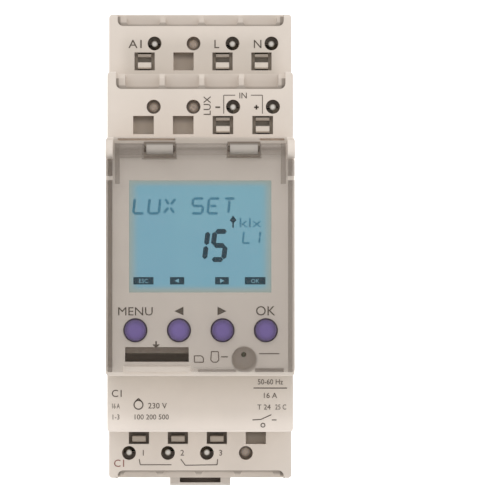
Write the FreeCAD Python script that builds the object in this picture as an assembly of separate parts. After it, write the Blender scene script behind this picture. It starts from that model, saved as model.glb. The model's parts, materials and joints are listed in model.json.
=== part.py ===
import FreeCAD, Part
import os

# A two-module timer for a 35 mm DIN rail. Millimetres.
# Frame: +X to the right seen from the front, the front faces -Y, +Z up.
# Origin: on the seat that rests against the rail's front face, at the rail's centre line.

V = FreeCAD.Vector

# ---------------------------------------------------------------- driving dimensions

WIDTH = 35.6                  # two modules of 17.8
HALF = WIDTH / 2
WALL = 1.6                    # moulded walls
EDGE_R = 0.35                 # rounding around the front faces
CORNER_R = 0.7                # rounding of the corners seen from the front
Z_TOP = 47.2                  # upper end of the rear housing
Z_BOTTOM = -43.3              # lower end of the rear housing
RIDGE = 0.4                   # behind the wire pockets both ends stand this much further out
RIB_DROP = 0.4                # the ribs between wire pockets end this far below the corners
SHOULDER_TOP = 35.3           # upper end of the front housing
SHOULDER_BOTTOM = -33.6       # lower end of the front housing
NOSE_HALF = 22.5              # half of the 45 mm nose
FOOT_Y = 5.5                  # the feet reach this far behind the rail seat
DECK_Y = -27.0                # face of the outer terminal rows
SHOULDER_Y = -43.5            # face of the inner terminal row and of the print area
NOSE_Y = -57.0                # face under the cover
COVER_Y = -60.0               # front of the closed cover

RAIL_EDGE = 17.5              # half of the 35 mm rail
RAIL_GROOVE = 1.35            # groove for the rail's 1 mm flange
SEAT_HALF = 15.2              # half height of the rail seat

PITCH = 7.6                   # between terminals
BAY_HALF = 3.3                # half width of a terminal chamber
UPPER_BAYS = [-11.1 + PITCH * i for i in range(4)]
LOWER_BAYS = [-11.7 + PITCH * i for i in range(4)]
PUSH_W = 3.95                 # release opening, width
PUSH_H = 3.5                  # release opening, height
PUSH_SHIFT = 0.25             # release opening, from the middle of its bay
LEVER_HALF = 1.3              # half width of a release lever's push block
TEST_R = 1.35                 # test hole radius
CONTACT_R = 0.6               # round contact behind a test hole
TEST_SHIFT = 2.2              # test hole, from the middle of its bay
TEST_RISE = 3.5               # from the release opening's centre to the test hole
FLOOR_RISE = 6.9              # from the release opening's centre to the wire pocket's floor
PARTITION_DROP = 2.7          # from the release opening's centre to the chamber's inner wall
POCKET_DEPTH = 9.6            # wire pocket, from the face
POCKET_X = (-16.1, 16.3)      # the notch through the wall in front of the wire pockets
POCKET_ROUND = 1.1            # rounding along a wire pocket's floor
WIRE_R = 1.35                 # wire entry radius
WIRE_SPACING = 3.3            # between a terminal's two wire entries
WIRE_DEPTH = 5.0              # wire axis, from the face
GUIDE_HALF_Y = 2.4            # half depth of a wire guide
GUIDE_LENGTH = 3.4            # wire guide, along the wire
FUNNEL = 0.4                  # chamfer at a wire guide's mouth
CHAMBER_BACK = -8.0           # the terminal chambers end in front of the power board
BLANK_DEPTH = 4.6             # depth of the recesses that stand in for an unused terminal's openings
BLANK_FLOOR = 1.0             # thickness of those recesses' floors
FLAP_GAP = 0.1                # between the housing's wall and the flanges behind it

WINDOW_X = 13.4               # half width of the display window
WINDOW_Z = (-6.8, 14.3)
KEY_X = {"menu": -12.2, "left": -4.0, "right": 4.2, "ok": 12.35}
KEY_Z = -13.9
KEY_R = 2.0
KEY_CLEARANCE = 0.28
KEY_PROUD = 0.9               # the keys stand this far out of the nose's face
SLOT_X = (-14.15, -2.15)      # memory card slot
SLOT_Z = (-19.85, -18.25)
SLOT_LEDGE = (1.2, 1.2)       # recess above the card slot: its height and depth
TAB_Z = (-21.7, -20.75)       # raised tab under the card slot
RECESS_X = 8.2                # round recess with a reset pinhole
RECESS_Z = -19.1
RECESS_R = 2.2
RECESS_DEPTH = 0.9
PINHOLE_R = 0.5

HINGE_Y = -58.3               # cover hinge axis
HINGE_Z = 20.2
HINGE_PIN_R = 0.6
HINGE_BORE_R = 0.66
KNUCKLE_R = 1.0
KNUCKLES_X = [(-10.1, -5.1), (5.6, 10.8)]
KNUCKLE_GAP = 0.4             # around the housing's ears
RELIEF_Z = (21.8, 22.2)       # relief grooves in the nose above the cover's barrel
RELIEF_DEPTH = 1.2
GRIP_X = 8.3                  # finger dish at the cover's lower edge
GRIP_Z = -19.4
GRIP_R = 2.4
GRIP_DEPTH = 0.5
LUG_X = 16.4                  # inner face of the corner lugs
LUG_R = 1.7
COVER_PLATE = 1.4
COVER_TOP = 18.3
COVER_BOTTOM = -21.7
RIM_X = 16.5                  # inner face of the cover's side rims
BARREL_X = 16.1               # half length of the cover's hinge barrel
BARREL_R = 1.05

LATCH_HALF = 6.1
LATCH_Y = (1.6, 4.2)
LATCH_TIP_Z = -15.9
LATCH_END_Z = -46.3
LATCH_SLOT_DEPTH = 2.2        # screwdriver slot in the latch's end
SPRING_Z = (-35.1, -27.3)     # latch return spring
SPRING_R = 0.95
SPRING_WIRE_R = 0.2
SPRING_TURNS = 8

POWER_BOARD_Y = (-5.6, -4.0)
DISPLAY_BOARD_Y = (-51.2, -49.6)
GLASS_Y = (-55.35, -54.25, -53.2)     # display cell: front, seam between its panes, back
GLASS_X = 14.95               # half width of the display cell
GLASS_Z = (-8.55, 16.35)
LED_X = (-8, 0, 8)
BATTERY_X = -4.0              # coin cell behind the display board
BATTERY_Z = 8.6
BATTERY_R = 10.0
RIBBON_Z = (-3.0, 12.0)
POST_PLACES = [(x, z) for x in (-13.5, 13.5) for z in (-18, 18)]      # the power board's posts

RELAY_X = (-15.0, -2.3)
RELAY_MIDDLE = sum(RELAY_X) / 2
RELAY_Z = (-14.5, 14.5)
RELAY_TOP = -21.3             # front of the relay's case
RELAY_WALL = 0.7
COIL_Y = -12.9                # coil axis
YOKE_TOP = 6.0
ARMATURE = 1.0                # armature thickness; it turns on its rounded rear edge
ARMATURE_Y = -17.9            # armature hinge axis
ARMATURE_Z = 6.8

# A terminal row: face plane, release opening's centre height, way to the wires, outer edge,
# the middles of its bays, and the bays that hold a terminal.
ROWS = [
    {"face": DECK_Y, "z": 38.0, "way": 1, "edge": Z_TOP, "bays": UPPER_BAYS, "used": (0, 2, 3)},
    {"face": SHOULDER_Y, "z": 25.1, "way": 1, "edge": SHOULDER_TOP, "bays": UPPER_BAYS, "used": (2, 3)},
    {"face": DECK_Y, "z": -34.9, "way": -1, "edge": Z_BOTTOM, "bays": LOWER_BAYS, "used": (0, 1, 2)},
]
TERMINALS = [(row, row["bays"][i]) for row in ROWS for i in row["used"]]


# ---------------------------------------------------------------- helpers

def box(x, y, z):
    """A box from its ranges along X, Y and Z, in either order."""
    (x0, x1), (y0, y1), (z0, z1) = sorted(x), sorted(y), sorted(z)
    return Part.makeBox(x1 - x0, y1 - y0, z1 - z0, V(x0, y0, z0))


def runs_along(edge, direction):
    chord = edge.Vertexes[1].Point - edge.Vertexes[0].Point
    return abs(chord.normalize().dot(direction)) > 0.9


def rounded_box(x, y, z, radius, along):
    """A box with its four edges along one axis rounded."""
    solid = box(x, y, z)
    return solid.makeFillet(radius, [e for e in solid.Edges if runs_along(e, along)])


def soften_front(solid, y, radius):
    """Round the outline of the face that lies at one depth."""
    low, high = y - 0.01, y + 0.01
    edges = [e for e in solid.Edges if e.BoundBox.YMin > low and e.BoundBox.YMax < high]
    return solid.makeFillet(radius, edges)


def bar_x(radius, x, y, z):
    return Part.makeCylinder(radius, abs(x[1] - x[0]), V(min(x), y, z), V(1, 0, 0))


def bar_y(radius, x, y, z):
    return Part.makeCylinder(radius, abs(y[1] - y[0]), V(x, min(y), z), V(0, 1, 0))


def bar_z(radius, x, y, z):
    return Part.makeCylinder(radius, abs(z[1] - z[0]), V(x, y, min(z)), V(0, 0, 1))


def extrude_x(points, x):
    """Extrude a closed (y, z) outline along X."""
    wire = Part.makePolygon([V(x[0], y, z) for y, z in points + points[:1]])
    return Part.Face(wire).extrude(V(x[1] - x[0], 0, 0))


def extrude_z(points, z):
    """Extrude a closed (x, y) outline along Z."""
    wire = Part.makePolygon([V(x, y, z[0]) for x, y in points + points[:1]])
    return Part.Face(wire).extrude(V(0, 0, z[1] - z[0]))


def cut_all(solid, tools):
    return solid.cut(Part.makeCompound(tools))


def fuse_all(solids):
    return solids[0].multiFuse(solids[1:]).removeSplitter()


def around(middle, half):
    return (middle - half, middle + half)


def rounded_edges(solid, radius, z, along):
    """Round the edges that run along one axis at one height."""
    level = [e for e in solid.Edges if e.BoundBox.ZMin > z - 0.01 and e.BoundBox.ZMax < z + 0.01]
    return solid.makeFillet(radius, [e for e in level if runs_along(e, along)])


# ---------------------------------------------------------------- terminal cut-outs

def row_z(row, rise):
    """The height of a point that lies rise from the release openings towards the wires."""
    return row["z"] + row["way"] * rise


def wire_pocket(row, bay, floor):
    """A trough with rounded lower corners, open to the face and to the row's outer edge."""
    face = row["face"]
    trough = box(bay, (face + 0.5, face + POCKET_DEPTH), (floor, row["edge"] + row["way"]))
    return rounded_edges(trough, POCKET_ROUND, floor, V(0, 1, 0))


def terminal_cuts(row):
    """What one row of terminals takes out of its housing, open and blank bays alike."""
    face, way = row["face"], row["way"]
    floor = row_z(row, FLOOR_RISE)
    chamber_z = (row_z(row, -PARTITION_DROP), row_z(row, FLOOR_RISE - WALL))
    notch = box(POCKET_X, (face - 1, face + WALL), (floor, row["edge"] + way))
    cuts = [rounded_edges(notch, POCKET_ROUND, floor, V(0, 1, 0))]
    rib_ends_y = (face + WALL - 0.1, face + POCKET_DEPTH)
    cuts.append(box(POCKET_X, rib_ends_y, (row["edge"] - way * RIB_DROP, row["edge"] + way)))
    for i, middle in enumerate(row["bays"]):
        used = i in row["used"]
        bay = around(middle, BAY_HALF)
        opening_y = (face - 1, face + (WALL + 0.1 if used else BLANK_DEPTH))
        push_x = around(middle + way * PUSH_SHIFT, PUSH_W / 2)
        test_x = middle + way * TEST_SHIFT
        chamber_front = face + (WALL if used else BLANK_DEPTH + BLANK_FLOOR)
        cuts.append(box(push_x, opening_y, around(row["z"], PUSH_H / 2)))
        cuts.append(bar_y(TEST_R, test_x, opening_y, row_z(row, TEST_RISE)))
        cuts.append(wire_pocket(row, bay, floor))
        cuts.append(box(bay, (chamber_front, CHAMBER_BACK), chamber_z))
        if used:
            wire_y = around(face + WIRE_DEPTH, GUIDE_HALF_Y)
            cuts.append(box(bay, wire_y, (row_z(row, FLOOR_RISE - WALL - 0.1), floor + way)))
    return cuts


# ---------------------------------------------------------------- housings

def rear_housing():
    ridge_y = DECK_Y + POCKET_DEPTH
    top, bottom = Z_TOP + RIDGE, Z_BOTTOM - RIDGE
    outline = [
        (DECK_Y, Z_TOP), (ridge_y, top), (0.6, top), (FOOT_Y, 40.2), (FOOT_Y, 17.4), (4.6, 15.9),
        (RAIL_GROOVE, 15.9), (RAIL_GROOVE, RAIL_EDGE + 0.25), (-0.15, RAIL_EDGE + 0.25),
        (-0.15, SEAT_HALF), (0, SEAT_HALF), (0, -SEAT_HALF), (-0.15, -SEAT_HALF),
        (-0.15, -19.6), (FOOT_Y, -20.4), (FOOT_Y, -41.0), (4.4, bottom), (ridge_y, bottom),
        (DECK_Y, Z_BOTTOM),
    ]
    body = extrude_x(outline, (-HALF, HALF))
    front = [e for e in body.Edges if runs_along(e, V(1, 0, 0)) and abs(e.BoundBox.YMin - DECK_Y) < 0.01]
    sides = [e for e in body.Edges if e.BoundBox.XLength < 0.01 and e.BoundBox.YLength > 8]
    body = body.makeFillet(CORNER_R, front + sides)
    inner = HALF - WALL
    cuts = [
        box((-inner, inner), (DECK_Y - 1, -8.0), (-32.6, 34.3)),
        box((-inner, inner), (-8.05, -1.8), (Z_BOTTOM + WALL, Z_TOP - WALL)),
        box((-inner, inner), (-15.8, -8.0), (42.0, Z_TOP - WALL)),
        box((-inner, inner), (-15.8, -8.0), (-41.2, -38.5)),
        box((-inner, inner), (-1.9, 3.9), (20.5, 38.5)),
    ]
    for side in (-1, 1):
        cuts.append(box((side * 8.0, side * inner), (-1.9, 3.9), (-38.5, -22.5)))
        cuts += [box((side * 15, side * 20), (-26.0, -24.2), around(z, 3.2)) for z in (-14, 14)]
    body = cut_all(body, cuts + terminal_cuts(ROWS[0]) + terminal_cuts(ROWS[2]))
    channel = box(around(0, LATCH_HALF + 0.2), (1.4, 4.4), (-19.0, Z_BOTTOM - 1))
    stop = box(around(0, 2.0), (1.3, 4.5), (-36.6, -35.2))
    body = body.cut(channel.cut(stop))
    ribs = [box((x - 0.5, x + 0.5), (-2.0, 4.0), (20.4, 38.6)) for x in (-8, 0, 8)]
    posts = [bar_y(1.6, x, (-4.0, -1.7), z) for x, z in POST_PLACES]
    return fuse_all([body] + ribs + posts)


def front_housing():
    inner = HALF - WALL
    across = (-HALF, HALF)
    upright = (SHOULDER_BOTTOM, SHOULDER_TOP)
    shoulder = rounded_box(across, (SHOULDER_Y, DECK_Y), upright, CORNER_R, V(0, 1, 0))
    shoulder = soften_front(shoulder, SHOULDER_Y, EDGE_R)
    nose = rounded_box(across, (NOSE_Y, SHOULDER_Y + 1), around(0, NOSE_HALF), CORNER_R, V(0, 1, 0))
    nose = soften_front(nose, NOSE_Y, EDGE_R)
    body = shoulder.fuse(nose).removeSplitter()
    cuts = [
        box((-inner, inner), (NOSE_Y + WALL, DECK_Y + 1), around(0, NOSE_HALF - WALL)),
        box((-inner, inner), (SHOULDER_Y + WALL, DECK_Y + 1), (SHOULDER_BOTTOM + WALL, -18)),
        box((-inner, inner), (-32.3, DECK_Y + 1), (30.3, SHOULDER_TOP - WALL)),
        box((-WINDOW_X, WINDOW_X), (NOSE_Y - 1, NOSE_Y + 2), WINDOW_Z),
        box(SLOT_X, (NOSE_Y - 1, NOSE_Y + 2), SLOT_Z),
        box(SLOT_X, (NOSE_Y - 1, NOSE_Y + SLOT_LEDGE[1]), (SLOT_Z[1], SLOT_Z[1] + SLOT_LEDGE[0])),
        bar_y(RECESS_R, RECESS_X, (NOSE_Y - 1, NOSE_Y + RECESS_DEPTH), RECESS_Z),
        bar_y(PINHOLE_R, RECESS_X, (NOSE_Y - 1, NOSE_Y + 2), RECESS_Z + 0.6),
    ]
    cuts += [bar_y(KEY_R + KEY_CLEARANCE, x, (NOSE_Y - 1, NOSE_Y + 2), KEY_Z) for x in KEY_X.values()]
    for x in ((-15.5, -4.7), (11.2, 15.8)):
        cuts.append(box(x, (NOSE_Y - 1, NOSE_Y + RELIEF_DEPTH), RELIEF_Z))
    upper_half = box((-20, 20), (SHOULDER_Y - 2, DECK_Y + 1), (20, 40))
    row_cuts = [cut.common(upper_half) for cut in terminal_cuts(ROWS[1])]
    body = cut_all(body, cuts + row_cuts)
    extra = []
    for side in (-1, 1):
        extra.append(box((side * 15.0, side * 16.1), (-30.0, -23.4), (-20.5, 20.5)))
        extra.append(box((side * 16.0, side * 16.4), (-30.0, DECK_Y), (-20.5, 20.5)))
        extra += [extrude_z([(side * 16.0, -25.9), (side * 16.9, -25.9), (side * 16.0, -24.0)],
                            around(z, 3.0)) for z in (-14, 14)]
        extra.append(corner_lug(side))
    extra += [knuckle(x) for x in KNUCKLES_X]
    extra.append(box((SLOT_X[0] - 0.1, SLOT_X[1] + 0.2), (NOSE_Y - 0.8, NOSE_Y + 0.1), TAB_Z))
    return fuse_all([body] + extra)


def corner_lug(side):
    """The light corner beside the cover's hinge, rounded so that the cover's rim can turn past it."""
    round_part = bar_x(LUG_R, (side * LUG_X, side * HALF), HINGE_Y, HINGE_Z)
    web = box((side * LUG_X, side * HALF), (HINGE_Y, NOSE_Y + 0.1), around(HINGE_Z, LUG_R))
    return round_part.fuse(web)


def knuckle(x):
    """An ear of the front housing that carries the cover's hinge pin."""
    ear = bar_x(KNUCKLE_R, x, HINGE_Y, HINGE_Z)
    web = box(x, (HINGE_Y, NOSE_Y + 0.1), around(HINGE_Z, KNUCKLE_R))
    return ear.fuse(web).cut(bar_x(HINGE_BORE_R, (x[0] - 1, x[1] + 1), HINGE_Y, HINGE_Z))


# ---------------------------------------------------------------- cover

def cover():
    """A tinted tray with side rims, hung from a pin that runs through the housing's ears."""
    plate_y = (COVER_Y, COVER_Y + COVER_PLATE)
    plate = rounded_box((-HALF, HALF), plate_y, (COVER_BOTTOM, COVER_TOP), CORNER_R, V(0, 1, 0))
    plate = soften_front(plate, COVER_Y, EDGE_R)
    rim_y = (COVER_Y + 0.8, NOSE_Y - 0.15)
    rim_z = (COVER_BOTTOM + 0.8, COVER_TOP - 0.4)
    rims = [box((side * RIM_X, side * HALF), rim_y, rim_z) for side in (-1, 1)]
    sill = box((-1.2, HALF - 0.5), rim_y, (COVER_BOTTOM, COVER_BOTTOM + 0.9))
    band = box(around(0, BARREL_X), plate_y, (COVER_TOP - 0.5, HINGE_Z))
    barrel = bar_x(BARREL_R, around(0, BARREL_X), HINGE_Y, HINGE_Z)
    boss = bar_y(GRIP_R, GRIP_X, rim_y, GRIP_Z).common(box((0, HALF), rim_y, (COVER_BOTTOM, 0)))
    solid = fuse_all([plate, band, barrel, cover_lip(), sill, boss] + rims)
    gap_z = (HINGE_Z - KNUCKLE_R - KNUCKLE_GAP, HINGE_Z + 2)
    gaps = [box((x[0] - KNUCKLE_GAP, x[1] + KNUCKLE_GAP), (COVER_Y - 1, NOSE_Y), gap_z) for x in KNUCKLES_X]
    tab_gap = box((SLOT_X[0] - 0.3, SLOT_X[1] + 0.4), (COVER_Y - 1, NOSE_Y), (COVER_BOTTOM - 1, TAB_Z[1] + 0.2))
    notch_y = (COVER_Y - 1, NOSE_Y)
    notches = [box((side * (RIM_X - 0.1), side * (HALF + 1)), notch_y, (14.3, 15.1)) for side in (-1, 1)]
    ball_r = (GRIP_R ** 2 + GRIP_DEPTH ** 2) / (2 * GRIP_DEPTH)
    dish = Part.makeSphere(ball_r, V(GRIP_X, COVER_Y + GRIP_DEPTH - ball_r, GRIP_Z))
    solid = cut_all(solid, gaps + notches + [tab_gap, dish])
    reach = KNUCKLE_GAP + 0.2
    pins = [bar_x(HINGE_PIN_R, (x[0] - reach, x[1] + reach), HINGE_Y, HINGE_Z) for x in KNUCKLES_X]
    return fuse_all([solid] + pins)


def cover_lip():
    """The front of the barrel, sloped back at the top so that the open cover clears the nose."""
    top = HINGE_Z + BARREL_R
    outline = [(HINGE_Y, HINGE_Z - 0.1), (COVER_Y, HINGE_Z - 0.1), (COVER_Y, HINGE_Z + 0.35),
               (COVER_Y + 0.45, HINGE_Z + 0.6), (COVER_Y + 1.0, top - 0.1), (HINGE_Y, top)]
    return extrude_x(outline, around(0, BARREL_X))


# ---------------------------------------------------------------- terminals

def wire_guides():
    guides = []
    for row, middle in TERMINALS:
        y = row["face"] + WIRE_DEPTH
        mouth = row_z(row, FLOOR_RISE)
        inner_end = row_z(row, FLOOR_RISE - GUIDE_LENGTH)
        for side in (-1, 1):
            x = middle + side * WIRE_SPACING / 2
            block = box((middle, middle + side * BAY_HALF), around(y, GUIDE_HALF_Y), (inner_end, mouth))
            bore = bar_z(WIRE_R, x, y, (inner_end - row["way"], mouth + row["way"]))
            funnel = Part.makeCone(WIRE_R, WIRE_R + FUNNEL / 2, FUNNEL,
                                   V(x, y, mouth - row["way"] * FUNNEL), V(0, 0, row["way"]))
            guides.append(block.cut(bore).cut(funnel.common(block)))
    return guides


def current_bar(row, middle):
    """Test contact, side strip, plate behind the wires and tail to the power board."""
    face, way = row["face"], row["way"]
    side = middle + way * 2.95
    edge = side + way * 0.3
    test_x = middle + way * TEST_SHIFT
    low, high = row_z(row, 2.3), row_z(row, 3.3)
    contact = bar_y(CONTACT_R, test_x, (face + 2.0, face + 2.5), row_z(row, TEST_RISE))
    neck = box((test_x, edge), (face + 2.2, face + 2.5), (low, high))
    strip = box((side, edge), (face + 2.2, face + 8.0), (low, high))
    plate = box(around(middle, 2.95), (face + 7.5, face + 8.1), (row_z(row, -2.3), high))
    link = box((middle, edge), (face + 7.5, face + 8.0), (low, high))
    tail = box(around(middle, 1.6), (face + 7.6, POWER_BOARD_Y[0]), (row_z(row, -2.3), row_z(row, -1.7)))
    return fuse_all([contact, neck, strip, plate, link, tail])


def clamp_spring(row, middle):
    """A bent leaf that presses a wire against the current bar."""
    y = row["face"] + 7.4
    leaf = [(-0.1, -2.0), (-2.3, -1.9), (-2.7, -1.3), (-2.5, -0.7), (-0.4, 1.4), (-0.15, 1.2),
            (-2.1, -0.85), (-2.3, -1.3), (-2.1, -1.6), (-0.1, -1.7)]
    outline = [(y + a, row_z(row, b)) for a, b in leaf]
    return extrude_x(outline, around(middle, 2.6))


def release_lever(row, middle):
    """A push block in its opening, with a deep screwdriver slot and a flange behind the wall."""
    face = row["face"]
    x = middle + row["way"] * PUSH_SHIFT
    back = face + WALL + 1.9
    low, high = around(row["z"], PUSH_H / 2 - 0.3)
    outline = [
        (back, low), (face + 0.8, low), (face + 0.35, low + 0.3), (face + 0.35, low + 1.15),
        (face + 0.6, low + 1.3), (back - 0.9, low + 1.3), (back - 0.9, high - 0.6),
        (face + 1.1, high - 0.6), (face + 0.9, high - 0.45), (face + 0.9, high), (back, high),
    ]
    block = extrude_x(outline, around(x, LEVER_HALF))
    wing_y = (face + WALL + FLAP_GAP, face + WALL + 0.9)
    wing_z = around(row["z"], 2.0)
    wings = [box((x + side * LEVER_HALF, x + side * 2.45), wing_y, wing_z) for side in (-1, 1)]
    return fuse_all([block] + wings)


# ---------------------------------------------------------------- keys and display

def key(x):
    cap = bar_y(KEY_R, x, (NOSE_Y - KEY_PROUD, NOSE_Y + 1.8), KEY_Z)
    cap = soften_front(cap, NOSE_Y - KEY_PROUD, EDGE_R)
    flange = bar_y(KEY_R + 0.7, x, (NOSE_Y + WALL + FLAP_GAP, NOSE_Y + WALL + 0.7), KEY_Z)
    stem = bar_y(0.9, x, (NOSE_Y + 1.7, -53.0), KEY_Z)
    return fuse_all([cap, flange, stem])


def tact_switches():
    switches = []
    for x in KEY_X.values():
        body = rounded_box(around(x, 2.25), (-52.9, DISPLAY_BOARD_Y[0]), around(KEY_Z, 2.25), 0.4, V(0, 1, 0))
        switches.append(body.cut(bar_y(1.25, x, (-53.5, -51.7), KEY_Z)))
    return switches


def lcd_glass():
    """The cell: a larger rear pane and a smaller front pane with the contact ledge above it."""
    front, seam, back = GLASS_Y
    rear_pane = box(around(0, GLASS_X), (seam, back), GLASS_Z)
    front_pane = box(around(0, GLASS_X), (front, seam), (GLASS_Z[0], GLASS_Z[1] - 1.6))
    return rear_pane.fuse(front_pane).removeSplitter()


def lcd_frame():
    """A tray that holds the cell, the light guide, the lamps and the contact strip."""
    frame = rounded_box((-15.9, 15.9), (GLASS_Y[0], DISPLAY_BOARD_Y[0]), (-9.7, 17.7), 0.6, V(0, 1, 0))
    cuts = [
        box(around(0, GLASS_X + 0.05), (-56, GLASS_Y[2]), (GLASS_Z[0] - 0.05, GLASS_Z[1] + 0.05)),
        box((-14, 14), (-54, -51), (-7.5, 14.9)),
        box((-14, 14), (-54, -51), (15.3, 16.3)),
    ]
    cuts += [box(around(x, 1.4), (-52.6, -51), (-8.7, -7.4)) for x in LED_X]
    return cut_all(frame, cuts)


def light_guide():
    plate = box((-13.9, 13.9), (-53.1, -51.4), (-7.3, 14.8))
    return plate.makeChamfer(0.3, [e for e in plate.Edges if e.BoundBox.XLength > 20])


def backlight_leds():
    return [box(around(x, 1.2), (-52.3, DISPLAY_BOARD_Y[0]), (-8.5, -7.5)) for x in LED_X]


def zebra_strip():
    return box((-13.9, 13.9), (-53.2, DISPLAY_BOARD_Y[0]), (15.4, 16.2))


def display_board():
    board = rounded_box((-15.6, 15.6), DISPLAY_BOARD_Y, (-16.8, 20.2), 0.8, V(0, 1, 0))
    return cut_all(board, [bar_y(1.1, x, (-52, -49), 18.8) for x in (-13.4, 13.4)])


def microcontroller():
    """A flat square package with legs on all four sides."""
    x0 = -2.5
    z0 = -9.5
    half = 3.5
    body = box(around(x0, half), (-49.4, -48.0), around(z0, half))
    body = body.makeChamfer(0.25, [e for e in body.Edges if e.BoundBox.YMin > -48.1])
    legs = []
    for i in range(8):
        offset = -2.8 + 0.8 * i
        for side in (-1, 1):
            reach = (side * (half - 0.1), side * (half + 0.9))
            legs.append(box((x0 + reach[0], x0 + reach[1]), (-49.6, -49.3), around(z0 + offset, 0.15)))
            legs.append(box(around(x0 + offset, 0.15), (-49.6, -49.3), (z0 + reach[0], z0 + reach[1])))
    return fuse_all([body] + legs)


def quartz_crystal():
    return rounded_box((4.5, 9.5), (DISPLAY_BOARD_Y[1], -47.6), (-11.0, -8.8), 1.05, V(0, 1, 0))


def battery_holder():
    cup = bar_y(BATTERY_R + 1.1, BATTERY_X, (DISPLAY_BOARD_Y[1], -45.0), BATTERY_Z)
    cup = cup.cut(bar_y(BATTERY_R + 0.15, BATTERY_X, (-48.7, -44), BATTERY_Z))
    notch = box((BATTERY_X - 4, BATTERY_X + 4), (-48.7, -44), (BATTERY_Z - 13, BATTERY_Z))
    return cup.cut(notch)


def battery():
    cell = bar_y(BATTERY_R, BATTERY_X, (-48.3, -45.2), BATTERY_Z)
    return cell.makeFillet(0.4, cell.Edges[:1])


def battery_contact():
    """A sprung strip across the open face of the cell."""
    across = around(BATTERY_Z, 2.0)
    strip = box(around(BATTERY_X, 11.6), (-44.9, -44.6), across)
    dimple = bar_y(1.2, BATTERY_X, (-45.2, -44.8), BATTERY_Z)
    legs = []
    for side in (-1, 1):
        leg_x = (BATTERY_X + side * 11.3, BATTERY_X + side * 11.6)
        legs.append(box(leg_x, (DISPLAY_BOARD_Y[1], -44.6), across))
    return fuse_all([strip, dimple] + legs)


def card_socket():
    (x0, x1), (z0, z1) = SLOT_X, SLOT_Z
    body = box((x0 - 1.1, x1 + 1.1), (NOSE_Y + WALL + 0.05, -37.0), (z0 - 1.0, z1 + 1.0))
    space = box((x0 - 0.1, x1 + 0.1), (NOSE_Y, -38.0), (z0 - 0.1, z1 + 0.1))
    slots = [box(around(x, 0.4), (-47, -36), around(z1, 0.4)) for x in contact_places()]
    return cut_all(body, [space] + slots)


def contact_places():
    middle = sum(SLOT_X) / 2
    return [middle + 1.5 * i for i in range(-3, 4)]


def card_contacts():
    leaf_z = (SLOT_Z[1] + 0.05, SLOT_Z[1] + 0.3)
    return [box(around(x, 0.3), (-46.8, -35.4), leaf_z) for x in contact_places()]


# ---------------------------------------------------------------- power board

def power_board():
    board = rounded_box((-15.8, 15.8), POWER_BOARD_Y, (-41.2, 45.0), 0.8, V(0, 1, 0))
    return cut_all(board, [bar_y(1.0, x, (-6, -3), z) for x, z in POST_PLACES])


def relay_case():
    outer = rounded_box(RELAY_X, (RELAY_TOP, -6.0), RELAY_Z, 0.6, V(0, 1, 0))
    return outer.cut(relay_inside(RELAY_WALL, (RELAY_TOP + RELAY_WALL, -5)))


def relay_inside(inset, y):
    """A block inset from the relay's outline."""
    return box((RELAY_X[0] + inset, RELAY_X[1] - inset), y, (RELAY_Z[0] + inset, RELAY_Z[1] - inset))


def relay_base():
    return relay_inside(RELAY_WALL + 0.05, (-7.2, POWER_BOARD_Y[0]))


def relay_coil():
    """Bobbin flanges with the winding between them, on a steel core."""
    winding = bar_z(4.1, RELAY_MIDDLE, COIL_Y, (-8.4, 4.2))
    flanges = [box(around(RELAY_MIDDLE, 4.7), (-17.2, -8.0), z) for z in ((-9.4, -8.4), (4.2, 5.2))]
    core = bar_z(1.9, RELAY_MIDDLE, COIL_Y, (-9.8, 5.8))
    return fuse_all([winding, core] + flanges)


def relay_yoke():
    side = box(around(RELAY_MIDDLE, 4.5), (-18.4, -17.4), (-11.0, YOKE_TOP))
    foot = box(around(RELAY_MIDDLE, 4.5), (-18.4, -7.6), (-11.0, -10.0))
    return side.fuse(foot).removeSplitter()


def relay_armature():
    """A plate that tilts on its rounded edge over the yoke and is pulled onto the core."""
    across = around(RELAY_MIDDLE, 4.3)
    plate = box(across, (ARMATURE_Y, -9.4), around(ARMATURE_Z, ARMATURE / 2))
    edge = bar_x(ARMATURE / 2, across, ARMATURE_Y, ARMATURE_Z)
    arm = box(around(RELAY_MIDDLE, 1.5), (-11.4, -9.4), (ARMATURE_Z, ARMATURE_Z + 2.1))
    return fuse_all([plate, edge, arm])


def relay_contacts():
    """The sprung contact above the armature's arm and the fixed one beyond it."""
    leaves = []
    for z in (10.6, 13.0):
        leaf = box(around(RELAY_MIDDLE, 2.0), (-12.0, -7.2), (z, z + 0.4))
        leaves.append(leaf.fuse(bar_z(1.1, RELAY_MIDDLE, -11.0, (z - 0.4, z + 0.1))))
    return leaves


def film_capacitor():
    return rounded_box((0.5, 7.5), (-18.6, POWER_BOARD_Y[0]), (-9.5, 8.5), 0.5, V(0, 1, 0))


def electrolytic_capacitor():
    can = bar_y(4.0, 5.2, (-17.6, POWER_BOARD_Y[0]), 15.0)
    groove = bar_y(4.5, 5.2, (-8.0, -7.2), 15.0).cut(bar_y(3.7, 5.2, (-9, -6), 15.0))
    return can.cut(groove)


def varistor():
    disc = bar_z(3.6, 4.0, -10.2, (-16.4, -13.2))
    legs = [bar_y(0.3, 4.0 + s * 1.5, (-8.0, POWER_BOARD_Y[0]), -14.8) for s in (-1, 1)]
    return fuse_all([disc] + legs)


def input_resistor():
    body = bar_z(1.6, 11.6, -8.0, (-12.0, -2.0))
    legs = [box(around(11.6, 0.35), (-8.3, POWER_BOARD_Y[0]), z) for z in ((-13.4, -12.8), (-1.2, -0.6))]
    leads = [bar_z(0.3, 11.6, -8.0, z) for z in ((-13.4, -11.5), (-2.5, -0.6))]
    return fuse_all([body] + legs + leads)


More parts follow.
